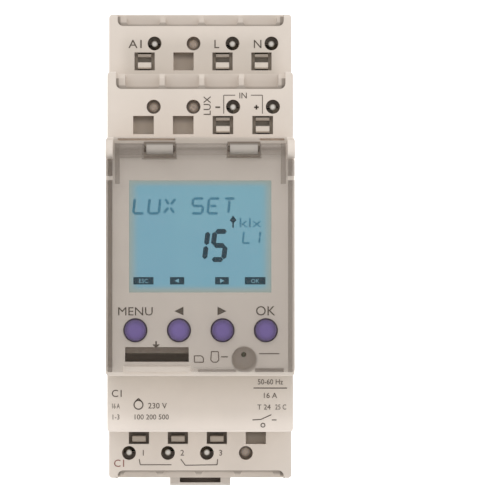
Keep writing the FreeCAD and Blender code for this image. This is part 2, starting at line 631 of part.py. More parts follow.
def ribbon_cable():
    """A flat cable from the display board to the power board, along the right side wall."""
    outline = [(13.0, -48.0), (13.7, -47.1), (14.5, -46.4), (14.8, -45.4), (14.8, -9.5), (14.5, -8.6),
               (13.5, -7.7), (13.2, -7.9), (14.2, -8.8), (14.5, -9.7), (14.5, -45.2), (14.2, -46.1),
               (13.4, -46.8), (12.7, -47.7)]
    return extrude_z(outline, RIBBON_Z)


def ribbon_connectors():
    front = box((11.2, 14.2), (DISPLAY_BOARD_Y[1], -47.2), (RIBBON_Z[0] - 1, RIBBON_Z[1] + 1))
    rear = box((11.2, 14.2), (-8.4, POWER_BOARD_Y[0]), (RIBBON_Z[0] + 3, RIBBON_Z[1] + 1))
    cable = box((12.4, 16), (-49, -6.8), RIBBON_Z)
    return [front.cut(cable), rear.cut(cable)]


# ---------------------------------------------------------------- rail latch

def rail_latch():
    outline = [
        (LATCH_Y[0], LATCH_TIP_Z), (LATCH_Y[0] + 1.1, LATCH_TIP_Z), (LATCH_Y[1], LATCH_TIP_Z - 2.4),
        (LATCH_Y[1], LATCH_END_Z + 0.5), (LATCH_Y[1] - 0.5, LATCH_END_Z), (LATCH_Y[0] + 0.5, LATCH_END_Z),
        (LATCH_Y[0], LATCH_END_Z + 0.5),
    ]
    plate = extrude_x(outline, around(0, LATCH_HALF))
    window = box(around(0, 2.3), (0, 6), (-27.2, -36.8))
    slot = box(around(0, 4.1), (0, LATCH_Y[0] + LATCH_SLOT_DEPTH), (-45.7, -44.7))
    return cut_all(plate, [window, slot])


def latch_spring():
    middle_y = sum(LATCH_Y) / 2
    length = SPRING_Z[1] - SPRING_Z[0] - 2 * SPRING_WIRE_R
    helix = Part.makeHelix(length / SPRING_TURNS, length, SPRING_R)
    ring = Part.Wire([Part.makeCircle(SPRING_WIRE_R, V(SPRING_R, 0, 0), V(0, 1, 0))])
    coil = Part.Wire(helix.Edges).makePipeShell([ring], True, True)
    coil.translate(V(0, middle_y, SPRING_Z[0] + SPRING_WIRE_R))
    return coil


# ---------------------------------------------------------------- write the parts

def save(node, solids):
    shape = solids if isinstance(solids, Part.Shape) else Part.makeCompound(solids)
    shape.exportStep(f"parts/{node}.step")


def main():
    os.makedirs("parts", exist_ok=True)
    for make in (rear_housing, front_housing, cover, wire_guides, tact_switches, lcd_glass, lcd_frame,
                 light_guide, backlight_leds, zebra_strip, display_board, microcontroller, quartz_crystal,
                 battery_holder, battery, battery_contact, card_socket, card_contacts, power_board,
                 relay_case, relay_base, relay_coil, relay_yoke, relay_armature, relay_contacts,
                 film_capacitor, electrolytic_capacitor, varistor, input_resistor, ribbon_cable,
                 ribbon_connectors, rail_latch, latch_spring):
        save(make.__name__, make())
    save("current_bars", [current_bar(row, middle) for row, middle in TERMINALS])
    save("clamp_springs", [clamp_spring(row, middle) for row, middle in TERMINALS])
    for number, (row, middle) in enumerate(TERMINALS, 1):
        save(f"release_lever_{number}", release_lever(row, middle))
    for name, x in KEY_X.items():
        save(f"key_{name}", key(x))


main()
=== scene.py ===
import json
import math

import bmesh
import bpy
from mathutils import Matrix, Vector


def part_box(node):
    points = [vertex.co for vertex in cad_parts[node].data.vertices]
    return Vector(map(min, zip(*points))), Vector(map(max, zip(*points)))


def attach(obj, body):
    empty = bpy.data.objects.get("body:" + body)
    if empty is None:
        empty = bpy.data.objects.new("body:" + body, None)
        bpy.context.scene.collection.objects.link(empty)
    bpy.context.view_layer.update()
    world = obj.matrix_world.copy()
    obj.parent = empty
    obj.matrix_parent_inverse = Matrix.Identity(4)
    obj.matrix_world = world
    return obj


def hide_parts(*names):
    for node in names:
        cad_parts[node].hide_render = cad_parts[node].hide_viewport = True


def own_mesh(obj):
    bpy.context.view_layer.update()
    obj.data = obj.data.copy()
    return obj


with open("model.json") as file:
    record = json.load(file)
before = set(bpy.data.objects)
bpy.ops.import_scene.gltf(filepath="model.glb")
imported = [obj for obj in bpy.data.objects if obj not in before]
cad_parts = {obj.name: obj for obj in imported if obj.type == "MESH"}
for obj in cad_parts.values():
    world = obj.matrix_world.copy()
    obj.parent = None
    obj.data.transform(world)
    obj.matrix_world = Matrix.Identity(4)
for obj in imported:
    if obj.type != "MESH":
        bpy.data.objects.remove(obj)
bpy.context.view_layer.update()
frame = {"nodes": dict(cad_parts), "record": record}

MM = 0.001

# ---------------------------------------------------------------- places, read from the frame

FRONT_LO, FRONT_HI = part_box("front_housing")
REAR_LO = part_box("rear_housing")[0]
COVER_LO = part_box("cover")[0]
GLASS_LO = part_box("lcd_glass")[0]
LATCH_LO, LATCH_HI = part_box("rail_latch")


def node_centre(node):
    low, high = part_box(node)
    return (Vector(low) + Vector(high)) / 2


NOSE_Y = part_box("key_menu")[0][1] + 0.9 * MM       # the keys stand 0.9 mm out of the nose's face
SHOULDER_Y = NOSE_Y + 13.5 * MM                    # inner terminal row and print area
DECK_Y = NOSE_Y + 30.0 * MM                        # outer terminal rows
PITCH = 7.6                                        # between terminals, mm
PRINT_LIFT = 0.01 * MM                             # printing stands this far off its face
PRINT_THICK = 0.03 * MM


def terminal_row(lever, bay, way, face, blank):
    """A row's places in mm: its face, its way to the wires, its first release opening and its blank bays."""
    middle = node_centre(lever) / MM
    first = middle.x - bay * PITCH
    blank_x = [first + (blank[0] - 0.5) * PITCH, first + (blank[1] + 0.5) * PITCH]
    return {"face": face / MM, "way": way, "x": first, "z": middle.z, "blank": blank_x}


ROWS = [
    terminal_row("release_lever_1", 0, 1, DECK_Y, (1, 1)),
    terminal_row("release_lever_4", 2, 1, SHOULDER_Y, (0, 1)),
    terminal_row("release_lever_6", 0, -1, DECK_Y, (3, 3)),
]
TEST_HOLE = (1.95, 3.5)       # from a release opening's middle to its test hole, towards the wires, mm
POCKET_FLOOR = 6.9            # from a release opening's middle to the floor of its wire pocket, mm

# ---------------------------------------------------------------- material helpers


def srgb(red, green, blue):
    """A display colour, 0 to 255, as linear light."""
    def linear(v):
        v /= 255
        return v / 12.92 if v <= 0.04045 else ((v + 0.055) / 1.055) ** 2.4
    return (linear(red), linear(green), linear(blue), 1.0)


def new_material(name):
    material = bpy.data.materials.new(name)
    material.use_nodes = True
    tree = material.node_tree
    shader = tree.nodes["Principled BSDF"]
    return material, tree, shader


def object_coordinates(tree):
    return tree.nodes.new("ShaderNodeTexCoord").outputs["Object"]


def noise(tree, scale, detail=3.0, roughness=0.55, vector=None):
    node = tree.nodes.new("ShaderNodeTexNoise")
    node.inputs["Scale"].default_value = scale
    node.inputs["Detail"].default_value = detail
    node.inputs["Roughness"].default_value = roughness
    tree.links.new(vector or object_coordinates(tree), node.inputs["Vector"])
    return node.outputs["Fac"]


def ramp(tree, value, stops):
    """A colour ramp through (position, colour) stops."""
    node = tree.nodes.new("ShaderNodeValToRGB")
    elements = node.color_ramp.elements
    while len(elements) < len(stops):
        elements.new(0.5)
    for element, (position, colour) in zip(elements, stops):
        element.position = position
        element.color = colour
    tree.links.new(value, node.inputs["Fac"])
    return node.outputs["Color"]


def remap(tree, value, low, high):
    """Spread the middle of a noise, 0.3 to 0.7, from low to high."""
    node = tree.nodes.new("ShaderNodeMapRange")
    node.inputs["From Min"].default_value = 0.3
    node.inputs["From Max"].default_value = 0.7
    node.inputs["To Min"].default_value = low
    node.inputs["To Max"].default_value = high
    tree.links.new(value, node.inputs["Value"])
    return node.outputs["Result"]


def bump(tree, shader, height, distance, strength):
    node = tree.nodes.new("ShaderNodeBump")
    node.inputs["Strength"].default_value = strength
    node.inputs["Distance"].default_value = distance
    tree.links.new(height, node.inputs["Height"])
    tree.links.new(node.outputs["Normal"], shader.inputs["Normal"])


def shade(colour, factor):
    return (colour[0] * factor, colour[1] * factor, colour[2] * factor, 1.0)


GRAIN = 5200.0                # noise scale of the mould's eroded texture
GRAIN_DEPTH = 0.012 * MM


def moulded_plastic(name, colour, rough, variation=0.035):
    """Moulded plastic: faint flow mottling, a fine eroded texture and uneven gloss."""
    material, tree, shader = new_material(name)
    darker, lighter = shade(colour, 1 - variation), shade(colour, 1 + variation * 0.6)
    colours = ramp(tree, noise(tree, 95.0, 4.0), [(0.3, darker), (0.7, lighter)])
    tree.links.new(colours, shader.inputs["Base Color"])
    gloss = noise(tree, 420.0, 2.0)
    tree.links.new(remap(tree, gloss, rough - 0.05, rough + 0.06), shader.inputs["Roughness"])
    bump(tree, shader, noise(tree, GRAIN, 2.0, 0.7), GRAIN_DEPTH, 0.6)
    shader.inputs["Specular IOR Level"].default_value = 0.35
    return material


def brushed_metal(name, colour, rough, along=(900.0, 60.0, 60.0)):
    """Rolled or drawn metal with fine lines along one axis."""
    material, tree, shader = new_material(name)
    mapping = tree.nodes.new("ShaderNodeMapping")
    mapping.inputs["Scale"].default_value = along
    tree.links.new(object_coordinates(tree), mapping.inputs["Vector"])
    lines = noise(tree, 12.0, 4.0, 0.6, mapping.outputs["Vector"])
    colours = ramp(tree, lines, [(0.25, shade(colour, 0.82)), (0.75, shade(colour, 1.08))])
    tree.links.new(colours, shader.inputs["Base Color"])
    tree.links.new(remap(tree, lines, rough - 0.08, rough + 0.12), shader.inputs["Roughness"])
    bump(tree, shader, lines, 0.004 * MM, 0.5)
    shader.inputs["Metallic"].default_value = 1.0
    return material


def circuit_board_material():
    """Green solder mask over a grid of copper tracks."""
    material, tree, shader = new_material("circuit_board_mask")
    brick = tree.nodes.new("ShaderNodeTexBrick")
    brick.inputs["Scale"].default_value = 260.0
    brick.inputs["Mortar Size"].default_value = 0.05
    brick.inputs["Color1"].default_value = (0.012, 0.10, 0.035, 1)
    brick.inputs["Color2"].default_value = (0.018, 0.14, 0.05, 1)
    brick.inputs["Mortar"].default_value = (0.03, 0.22, 0.09, 1)
    mapping = tree.nodes.new("ShaderNodeMapping")
    mapping.inputs["Rotation"].default_value = (math.pi / 2, 0, 0)
    tree.links.new(object_coordinates(tree), mapping.inputs["Vector"])
    tree.links.new(mapping.outputs["Vector"], brick.inputs["Vector"])
    tree.links.new(brick.outputs["Color"], shader.inputs["Base Color"])
    weave = noise(tree, 1500.0, 2.0)
    tree.links.new(remap(tree, weave, 0.25, 0.4), shader.inputs["Roughness"])
    bump(tree, shader, brick.outputs["Fac"], 0.03 * MM, 0.5)
    return material


def winding_material():
    """Enamelled copper wire laid in turns round the upright coil."""
    material, tree, shader = new_material("copper_winding")
    wave = tree.nodes.new("ShaderNodeTexWave")
    wave.bands_direction = "Z"
    wave.inputs["Scale"].default_value = 620.0
    wave.inputs["Distortion"].default_value = 0.6
    tree.links.new(object_coordinates(tree), wave.inputs["Vector"])
    colours = ramp(tree, wave.outputs["Fac"], [(0.1, (0.16, 0.045, 0.015, 1)), (0.8, (0.62, 0.22, 0.08, 1))])
    tree.links.new(colours, shader.inputs["Base Color"])
    tree.links.new(remap(tree, noise(tree, 300.0), 0.25, 0.42), shader.inputs["Roughness"])
    bump(tree, shader, wave.outputs["Fac"], 0.1 * MM, 0.7)
    shader.inputs["Metallic"].default_value = 0.8
    return material


# ---------------------------------------------------------------- masks, made of math nodes


def math_node(tree, operation, a, b):
    """The result of a Math node; a and b are numbers or outputs of other nodes."""
    node = tree.nodes.new("ShaderNodeMath")
    node.operation = operation
    for socket, value in zip(node.inputs, (a, b)):
        if isinstance(value, (int, float)):
            socket.default_value = value
        else:
            tree.links.new(value, socket)
    return node.outputs["Value"]


def rise(tree, value, edge, soft=0.1):
    """0 below an edge and 1 above it; the edge and its softness are in millimetres."""
    node = tree.nodes.new("ShaderNodeMapRange")
    node.interpolation_type = "SMOOTHSTEP"
    node.inputs["From Min"].default_value = (edge - soft / 2) * MM
    node.inputs["From Max"].default_value = (edge + soft / 2) * MM
    tree.links.new(value, node.inputs["Value"])
    return node.outputs["Result"]


def below(tree, value, edge, soft=0.15):
    """1 below an edge and 0 above it, in millimetres."""
    return math_node(tree, "SUBTRACT", 1.0, rise(tree, value, edge, soft))


def inside(tree, value, low, high, soft=0.15):
    """1 between two edges, in millimetres, and 0 outside them."""
    return math_node(tree, "SUBTRACT", rise(tree, value, low, soft), rise(tree, value, high, soft))


def axes(tree):
    """X, Y and Z from the piece's own coordinates, which are the frame's."""
    split = tree.nodes.new("ShaderNodeSeparateXYZ")
    tree.links.new(object_coordinates(tree), split.inputs["Vector"])
    return split.outputs["X"], split.outputs["Y"], split.outputs["Z"]


def from_middle(tree, x):
    return math_node(tree, "ABSOLUTE", x, 0.0)


def product(tree, *factors):
    result = factors[0]
    for factor in factors[1:]:
        result = math_node(tree, "MULTIPLY", result, factor)
    return result


def square(tree, value):
    return math_node(tree, "MULTIPLY", value, value)


def radius_from(tree, across, up):
    return math_node(tree, "SQRT", math_node(tree, "ADD", square(tree, across), square(tree, up)), 0.0)


def nearest(tree, x, first, pitch):
    """The distance along X to the nearest of a row of evenly spaced places; first and pitch are in mm."""
    return math_node(tree, "PINGPONG", offset(tree, x, first), pitch / 2 * MM)


def offset(tree, value, middle):
    return math_node(tree, "SUBTRACT", value, middle * MM)


def from_test_holes(tree, row, x, z):
    """The distance to the nearest of a row's test holes."""
    test_x, test_z = row["x"] + row["way"] * TEST_HOLE[0], row["z"] + row["way"] * TEST_HOLE[1]
    return radius_from(tree, nearest(tree, x, test_x, PITCH), offset(tree, z, test_z))


# ---------------------------------------------------------------- materials that change over a piece, many with painted shade and light


def tone_down(material, mask, tint):
    """Multiply a material's colour by a tint where a mask is 1; a tint above 1 lightens."""
    tree = material.node_tree
    base = tree.nodes["Principled BSDF"].inputs["Base Color"]
    mix = tree.nodes.new("ShaderNodeMix")
    mix.data_type = "RGBA"
    mix.blend_type = "MULTIPLY"
    mix.inputs["B"].default_value = (*tint, 1.0)
    tree.links.new(base.links[0].from_socket, mix.inputs["A"])
    tree.links.new(mask, mix.inputs["Factor"])
    tree.links.new(mix.outputs["Result"], base)


# Where the cover's tint is deeper: over its thick outer rims, and as painted shade along the hinge line,
# round the ears, along the inner rims and under the sill. x range and z range in millimetres, and the extra
# opacity.
COVER_DEEPER_AND_SHADED = [
    ((-17.35, -16.5), (-22.5, 18.5), 0.36),       # left rim
    ((16.5, 17.35), (-22.5, 18.5), 0.20),         # right rim
    ((-16.0, 16.0), (19.9, 20.5), 0.22),          # painted shade along the hinge line at the top edge
    ((-10.9, -4.4), (18.2, 22.0), 0.30),          # painted shade round the left ear
    ((4.9, 11.5), (18.4, 22.0), 0.28),            # painted shade round the right ear
    ((-15.6, -10.6), (18.4, 22.0), 0.20),         # painted shade beside the left ear
    ((-16.0, -15.1), (13.6, 21.6), 0.26),         # painted shade along the left upper inner rim
    ((15.1, 16.1), (13.6, 21.6), 0.24),           # painted shade along the right upper inner rim
    ((10.3, 15.7), (-22.0, -21.0), 0.26),         # painted shade under the sill, right of the dish
    ((-0.4, 6.8), (-22.0, -21.2), 0.18),          # painted shade under the sill, left of the dish
]
DISH = (8.3, -19.4, 2.4, 0.2)        # the finger dish: x, z, radius, extra opacity
COVER_ALPHA = 0.13


def cover_material():
    """Smoke-tinted clear plastic, deeper in tone over its thick rims and hinge barrel, with painted shade
    along the hinge line, round the ears, along the inner rims and under the sill.
    """
    material, tree, shader = new_material("cover_tinted")
    tint = ramp(tree, noise(tree, 60.0, 2.0), [(0.3, srgb(98, 86, 75)), (0.7, srgb(106, 93, 81))])
    tree.links.new(tint, shader.inputs["Base Color"])
    x, _, z = axes(tree)
    extra = math_node(tree, "MULTIPLY", rise(tree, z, 18.7, 2.4), 0.15)
    for x_range, z_range, amount in COVER_DEEPER_AND_SHADED:
        region = math_node(tree, "MULTIPLY", inside(tree, x, *x_range), inside(tree, z, *z_range))
        extra = math_node(tree, "MAXIMUM", extra, math_node(tree, "MULTIPLY", region, amount))
    from_dish = radius_from(tree, offset(tree, x, DISH[0]), offset(tree, z, DISH[1]))
    dish = below(tree, from_dish, DISH[2], 0.5)
    extra = math_node(tree, "MAXIMUM", extra, math_node(tree, "MULTIPLY", dish, DISH[3]))
    tree.links.new(math_node(tree, "ADD", extra, COVER_ALPHA), shader.inputs["Alpha"])
    tree.links.new(remap(tree, noise(tree, 500.0), 0.08, 0.14), shader.inputs["Roughness"])
    shader.inputs["IOR"].default_value = 1.49
    shader.inputs["Specular IOR Level"].default_value = 0.28
    return material


BLANK_FLOOR = (4.3, 4.9)      # a blank recess has its floor between these depths behind its face, mm
SIDE_WALL = 15.9              # the openings lie nearer the middle than this, mm


def tone_openings(material, row, x, y, z):
    """Paint shade into one row's test holes, release openings and blank recesses, and painted light on the
    middles and lower parts of the blank floors.
    """
    tree = material.node_tree
    face, way, middle_z = row["face"], row["way"], row["z"]
    within = below(tree, from_middle(tree, x), SIDE_WALL)
    behind = inside(tree, y, face + 0.15, face + 13)
    hole_wall = inside(tree, y, face + 0.15, face + BLANK_FLOOR[0])
    on_floor = inside(tree, y, face + BLANK_FLOOR[0], face + BLANK_FLOOR[1])
    from_test = from_test_holes(tree, row, x, z)
    ring = inside(tree, from_test, 0.6, 1.55, 0.45)
    blank = inside(tree, x, row["blank"][0] + way * TEST_HOLE[0], row["blank"][1] + way * TEST_HOLE[0])
    used = math_node(tree, "SUBTRACT", 1.0, blank)
    # Painted shade on the walls of the test holes and blank round recesses, deepest in the used holes.
    tone_down(material, product(tree, ring, hole_wall, within, used), (0.40, 0.37, 0.33))
    tone_down(material, product(tree, ring, hole_wall, within, blank), (0.86, 0.84, 0.82))
    tone_down(material, product(tree, ring, behind, within), (0.88, 0.86, 0.84))
    # Painted shade round the edge of each blank floor, and painted light in its middle.
    floor_edge = product(tree, rise(tree, from_test, 0.95, 0.5), ring, on_floor)
    tone_down(material, product(tree, floor_edge, within), (0.66, 0.63, 0.60))
    floor_middle = product(tree, below(tree, from_test, 0.75, 0.7), on_floor)
    tone_down(material, product(tree, floor_middle, within), (2.3, 2.25, 2.2))
    # Painted shadow over the upper part of each release opening and blank square, and painted light on the
    # lower part of the blank floors.
    across = below(tree, nearest(tree, x, row["x"], PITCH), 2.1)
    up = inside(tree, z, middle_z - 1.9, middle_z + 1.9)
    shaded = rise(tree, z, middle_z + (1.0 if way > 0 else -0.2), 1.3)
    tone_down(material, product(tree, across, up, shaded, behind, within), (0.60, 0.57, 0.54))
    open_part = product(tree, up, below(tree, z, middle_z + 0.6, 0.8), on_floor)
    tone_down(material, product(tree, across, open_part, within), (1.12, 1.11, 1.08))


def tone_pockets(material, row, x, y, z):
    """Paint shade into one row's wire pockets near their floor and into the notch in front of them, darkest
    at the notch's ends.
    """
    tree = material.node_tree
    face, way = row["face"], row["way"]
    floor = row["z"] + way * POCKET_FLOOR
    off_middle = from_middle(tree, x)
    near_floor = inside(tree, z, *sorted((floor - way * 0.2, floor + way * 0.75)), 0.5)
    in_pocket = product(tree, inside(tree, y, face + 0.5, face + 9.9), below(tree, off_middle, 16.5))
    tone_down(material, product(tree, near_floor, in_pocket), (0.62, 0.61, 0.60))
    beyond = inside(tree, z, *sorted((floor - way * 0.3, floor + way * 2.1)))
    notch = product(tree, beyond, inside(tree, y, face + 0.2, face + 1.8))
    tone_down(material, product(tree, notch, inside(tree, off_middle, 15.6, 16.5)), (0.52, 0.5, 0.48))
    tone_down(material, product(tree, notch, below(tree, off_middle, 15.6)), (0.92, 0.91, 0.90))


EARS = [(-10.1, -5.1), (5.6, 10.8)]        # the hinge ears' x ranges, mm
# Painted shade over the hinge ears.
EAR_SHADE = (0.58, 0.58, 0.58)


def tone_nose(material, x, y, z):
    """Paint shade on the hinge ears, their tops and their gaps and on the nose's upper rim, paint light into
    the shadowed relief groove, and darken the tab under the card slot.
    """
    tree = material.node_tree
    nose = NOSE_Y / MM
    off_middle = from_middle(tree, x)
    on_nose = inside(tree, y, nose - 0.2, nose + 1.3)
    for low, high in EARS:
        # Painted shade in the gap round each ear, on the ear and on its top.
        gap = product(tree, on_nose, inside(tree, x, low - 0.5, high + 0.5), inside(tree, z, 18.5, 21.6))
        tone_down(material, gap, (0.45, 0.42, 0.39))
        proud = product(tree, below(tree, y, nose - 0.3), rise(tree, z, 15.0))
        ear = product(tree, proud, inside(tree, x, low - 0.3, high + 0.3))
        tone_down(material, ear, EAR_SHADE)
        tone_down(material, product(tree, ear, rise(tree, z, 20.95, 0.3)), (0.5, 0.48, 0.46))
    # Painted shade along the nose's upper rim.
    rim = product(tree, on_nose, rise(tree, z, 21.1, 0.4), below(tree, off_middle, 16.3))
    tone_down(material, rim, (0.74, 0.72, 0.70))
    # Painted light in the relief groove, over its real shade.
    relief = product(tree, inside(tree, y, nose + 0.3, nose + 1.4), inside(tree, z, 21.6, 22.4))
    tone_down(material, product(tree, relief, below(tree, off_middle, 16.0)), (1.6, 1.55, 1.5))
    tab = product(tree, below(tree, y, nose - 0.5), below(tree, z, -20.4))
    tone_down(material, tab, (0.88, 0.87, 0.86))


def tone_steps(material, x, y, z):
    """Paint the nose's shadow on the print area under it, painted light along the print area's low edge and
    painted shade on the deck over the shoulder, and darken the seam between the two halves.
    """
    tree = material.node_tree
    off_middle = from_middle(tree, x)
    on_shoulder = inside(tree, y, SHOULDER_Y / MM - 0.2, SHOULDER_Y / MM + 0.2)
    # Painted shadow of the nose on the print area, and painted light along its low edge.
    under_nose = product(tree, on_shoulder, rise(tree, z, -26.5, 7.0), below(tree, z, -22.4))
    tone_down(material, under_nose, (0.88, 0.88, 0.87))
    low_edge = product(tree, on_shoulder, below(tree, z, -31.0, 4.0))
    tone_down(material, low_edge, (1.18, 1.19, 1.21))
    # Painted shade on the deck just over the shoulder.
    on_deck = inside(tree, y, DECK_Y / MM - 0.2, DECK_Y / MM + 0.2)
    over_shoulder = product(tree, inside(tree, z, 34.0, 42.5, 4.0), below(tree, off_middle, 15.0, 3.0))
    tone_down(material, product(tree, on_deck, over_shoulder), (0.86, 0.86, 0.85))
    seam_y = REAR_LO[1] / MM
    seam = product(tree, inside(tree, y, seam_y - 0.14, seam_y + 0.14, 0.1), rise(tree, off_middle, 16.9))
    halves_meet = inside(tree, z, FRONT_LO[2] / MM, FRONT_HI[2] / MM)
    tone_down(material, product(tree, seam, halves_meet), (0.50, 0.47, 0.44))


def housing_material():
    """Moulded plastic with painted shade in its openings, pockets and corners and round the hinge, and
    painted light on some recess floors and edges.
    """
    material = moulded_plastic("housing_plastic", srgb(224, 214, 204), 0.52)
    x, y, z = axes(material.node_tree)
    for row in ROWS:
        tone_openings(material, row, x, y, z)
        tone_pockets(material, row, x, y, z)
    tone_nose(material, x, y, z)
    tone_steps(material, x, y, z)
    return material


def lever_material():
    """The release levers: a light push face, with painted shade in the slot and on the flanks behind it, and
    over the whole lowest row, which the overhang shades.
    """
    material = moulded_plastic("lever_plastic", srgb(222, 213, 202), 0.42)
    tree = material.node_tree
    _, y, z = axes(tree)
    for face in (DECK_Y / MM, SHOULDER_Y / MM):
        tone_down(material, inside(tree, y, face + 0.7, face + 8), (0.70, 0.68, 0.66))
        tone_down(material, inside(tree, y, face + 1.3, face + 8), (0.62, 0.59, 0.55))
    tone_down(material, below(tree, z, -30.0), (0.62, 0.59, 0.56))
    return material


def guide_material():
    """The wire guides: light at their mouths, with painted shade where they face the test holes."""
    material = moulded_plastic("guide_plastic", srgb(214, 204, 194), 0.5)
    tree = material.node_tree
    y = axes(tree)[1]
    for face in (DECK_Y / MM, SHOULDER_Y / MM):
        tone_down(material, inside(tree, y, face + 2.3, face + 2.8), (0.30, 0.27, 0.24))
    return material


def contact_material():
    """Tinned bars whose round contacts stay bright, with painted shade over the rest of each bar behind them
    and in a ring round each test hole.
    """
    material = brushed_metal("tinned_copper", (0.62, 0.59, 0.55, 1), 0.36)
    tree = material.node_tree
    x, y, z = axes(tree)
    for row in ROWS:
        face = row["face"]
        tone_down(material, inside(tree, y, face + 2.1, face + 14), (0.40, 0.37, 0.33))
        edge = inside(tree, from_test_holes(tree, row, x, z), 0.42, 1.5, 0.3)
        tone_down(material, product(tree, edge, inside(tree, y, face + 1, face + 3)), (0.42, 0.39, 0.35))
    return material


def latch_material():
    """The rail latch, with painted shade inside the slot for the screwdriver."""
    material = moulded_plastic("latch_plastic", srgb(206, 198, 190), 0.5)
    tree = material.node_tree
    x, y, z = axes(tree)
    end_z = LATCH_LO[2] / MM
    slot = product(tree, below(tree, from_middle(tree, x), 4.15), inside(tree, z, end_z + 0.55, end_z + 1.65))
    deep = inside(tree, y, LATCH_LO[1] / MM + 0.2, LATCH_HI[1] / MM - 0.2)
    tone_down(material, product(tree, slot, deep), (0.30, 0.25, 0.22))
    return material


def key_material():
    """Violet keys, darker round their edge."""
    material = moulded_plastic("key_violet", srgb(121, 101, 176), 0.38, variation=0.08)
    tree = material.node_tree
    x, _, z = axes(tree)
    menu, last = node_centre("key_menu") / MM, node_centre("key_ok") / MM
    from_key = radius_from(tree, nearest(tree, x, menu.x, (last.x - menu.x) / 3), offset(tree, z, menu.z))
    tone_down(material, rise(tree, from_key, 1.35, 1.1), (0.62, 0.62, 0.62))
    return material


LCD_STRENGTH = 0.72           # of the backlight


def lit_cell_material():
    """The display cell: pale blue, lit from behind, greyer along the window's edges."""
    material, tree, shader = new_material("lcd_cell")
    blue = ramp(tree, noise(tree, 45.0, 2.0), [(0.3, srgb(118, 184, 210)), (0.7, srgb(124, 192, 212))])
    x, _, z = axes(tree)
    middle = product(tree, below(tree, from_middle(tree, x), 12.5, 2.4), inside(tree, z, -6.0, 13.6, 1.6))
    mix = tree.nodes.new("ShaderNodeMix")
    mix.data_type = "RGBA"
    mix.inputs["A"].default_value = srgb(168, 182, 174)
    tree.links.new(middle, mix.inputs["Factor"])
    tree.links.new(blue, mix.inputs["B"])
    tree.links.new(mix.outputs["Result"], shader.inputs["Emission Color"])
    shader.inputs["Emission Strength"].default_value = LCD_STRENGTH
    dark = ramp(tree, noise(tree, 300.0, 2.0), [(0.3, (0.03, 0.06, 0.07, 1)), (0.7, (0.04, 0.07, 0.08, 1))])
    tree.links.new(dark, shader.inputs["Base Color"])
    tree.links.new(remap(tree, noise(tree, 700.0), 0.16, 0.22), shader.inputs["Roughness"])
    return material


# ---------------------------------------------------------------- ink, and one material for each slot


def ink_material(name, colour):
    """Thin printed ink: slightly uneven in tone and gloss."""
    material, tree, shader = new_material(name)
    tone = noise(tree, 2600.0, 3.0)
    colours = ramp(tree, tone, [(0.25, shade(colour, 0.85)), (0.75, shade(colour, 1.2))])
    tree.links.new(colours, shader.inputs["Base Color"])
    tree.links.new(remap(tree, tone, 0.5, 0.65), shader.inputs["Roughness"])
    shader.inputs["Specular IOR Level"].default_value = 0.08
    return material


MATERIALS = {
    "housing": housing_material(),
    "guide": guide_material(),
    "lever": lever_material(),
    "latch": latch_material(),
    "key": key_material(),
    "black_plastic": moulded_plastic("black_plastic", (0.012, 0.012, 0.013, 1), 0.45),
    "light_guide": moulded_plastic("light_guide_clear", srgb(215, 230, 238), 0.25),
    "led": moulded_plastic("led_lens", srgb(240, 238, 225), 0.2),
    "elastomer": moulded_plastic("elastomer_grey", srgb(160, 160, 162), 0.7),
    "circuit_board": circuit_board_material(),
    "tinned_steel": brushed_metal("tinned_steel", (0.62, 0.62, 0.63, 1), 0.3),
    "spring_steel": brushed_metal("spring_steel", (0.5, 0.5, 0.52, 1), 0.28),
    "gold": brushed_metal("gold_flash", (0.9, 0.62, 0.25, 1), 0.25),
    "relay_plastic": moulded_plastic("relay_plastic", srgb(196, 198, 194), 0.35),
    "winding": winding_material(),
    "copper_alloy": contact_material(),
    "capacitor_yellow": moulded_plastic("capacitor_yellow", srgb(206, 168, 70), 0.4),
    "aluminium_can": brushed_metal("can_aluminium", (0.6, 0.61, 0.63, 1), 0.35, (60.0, 700.0, 60.0)),
    "varistor_blue": moulded_plastic("varistor_blue", srgb(60, 92, 160), 0.3),
    "resistor_green": moulded_plastic("resistor_cement", srgb(120, 150, 120), 0.6),
    "ribbon": moulded_plastic("ribbon_grey", srgb(185, 186, 188), 0.5),
    "connector_white": moulded_plastic("connector_nylon", srgb(232, 230, 220), 0.45),
    "cover": cover_material(),
    "lcd": lit_cell_material(),
}
SOCKET = moulded_plastic("socket_plastic", srgb(184, 166, 150), 0.55)
INK = ink_material("legend_ink", srgb(92, 84, 77))
INK_SOFT = ink_material("legend_ink_soft", srgb(120, 110, 102))
INK_RED = ink_material("legend_ink_red", srgb(140, 92, 86))
# A flat grey sheet of painted shade for the shaded chamfer above the card slot.
SLOT_LIP_SHADE = ink_material("slot_lip_painted_shade", srgb(134, 124, 115))
LCD_DARK = ink_material("lcd_segment_dark", (0.0005, 0.052, 0.088, 1))
LCD_FAINT = ink_material("lcd_segment_faint", srgb(74, 144, 172))

for entry in frame["record"]["subparts"]:
    node_object = frame["nodes"][entry["node"]]
    for place in node_object.material_slots:
        place.material = SOCKET if entry["node"] == "card_socket" else MATERIALS[entry["material_slot"]]

# ---------------------------------------------------------------- making pieces


def add_object(name, shape, material):
    """An object from a finished bmesh, in the scene, with one material."""
    mesh = bpy.data.meshes.new(name)
    shape.to_mesh(mesh)
    shape.free()
    mesh.materials.append(material)
    thing = bpy.data.objects.new(name, mesh)
    bpy.context.scene.collection.objects.link(thing)
    return thing


CAPITAL_HEIGHT = 0.69         # of the built-in font at size 1


